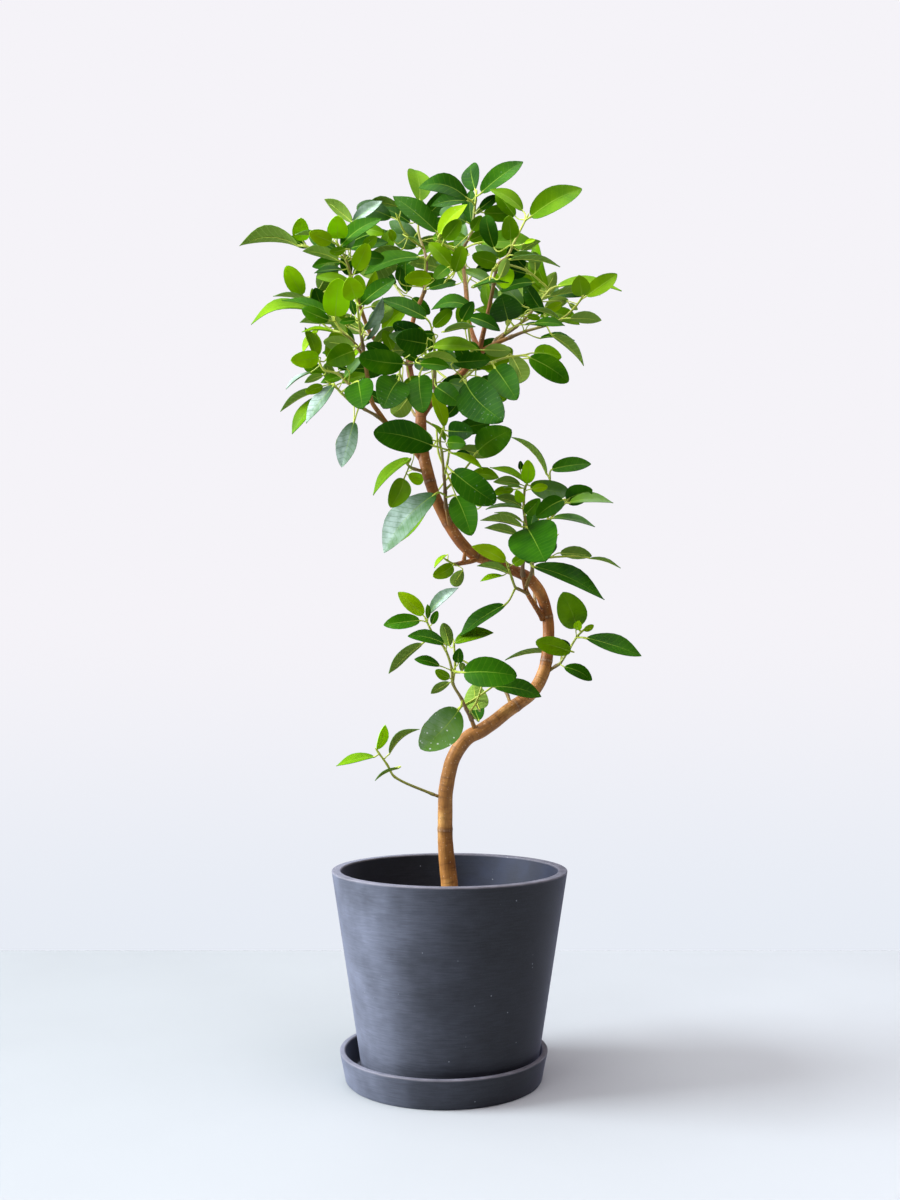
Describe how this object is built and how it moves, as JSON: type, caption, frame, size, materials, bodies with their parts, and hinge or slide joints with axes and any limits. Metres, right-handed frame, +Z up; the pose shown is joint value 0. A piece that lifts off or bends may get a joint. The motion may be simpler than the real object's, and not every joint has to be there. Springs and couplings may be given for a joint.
{
  "type": "potted rusty fig",
  "caption": "Young rusty fig with an S-bent trunk and an airy crown of oval leaves, in a tapered dark pot that stands in a low saucer.",
  "frame": {"origin": "on the surface that the saucer stands on, below the pot's axis", "axes": "+Z up, the viewer of the picture at -Y, +X to the viewer's right"},
  "size_m": [0.365, 0.2465, 0.8557],
  "materials": {
    "saucer_stone": "matt stone-filled resin, dark charcoal",
    "pot_stone": "matt stone-filled resin, dark charcoal, faintly brushed",
    "soil": "loose potting soil",
    "bark": "thin tan bark with pale pores",
    "leaf": "leathery leaf, softly glossy"
  },
  "bodies": {
    "root": {"saucer": "saucer_stone", "pot": "pot_stone", "soil": "soil", "trunk_and_limbs": "bark", "shoot_low_left": "leaf", "shoot_left_cluster": "leaf", "shoot_right_low": "leaf", "shoot_inner_green": "leaf", "shoot_stub": "leaf", "shoot_trunk_left": "leaf", "shoot_parallel": "leaf", "shoot_right_inner": "leaf", "shoot_right_outer": "leaf", "shoot_left_low": "leaf", "shoot_left_mid": "leaf", "shoot_left_top": "leaf", "shoot_yellow_left": "leaf", "shoot_upper_left": "leaf", "shoot_top_left": "leaf", "shoot_top_centre": "leaf", "shoot_top_right": "leaf", "shoot_right_upper": "leaf", "shoot_right_lower": "leaf", "shoot_crown_front": "leaf", "shoot_centre_front": "leaf", "shoot_front_left": "leaf", "shoot_back_fork": "leaf", "shoot_back_centre": "leaf", "shoot_back_high": "leaf", "shoot_back_left": "leaf", "shoot_back_top": "leaf", "shoot_back_right": "leaf", "shoot_back_mid": "leaf", "shoot_back_low": "leaf"}
  },
  "joints": []
}
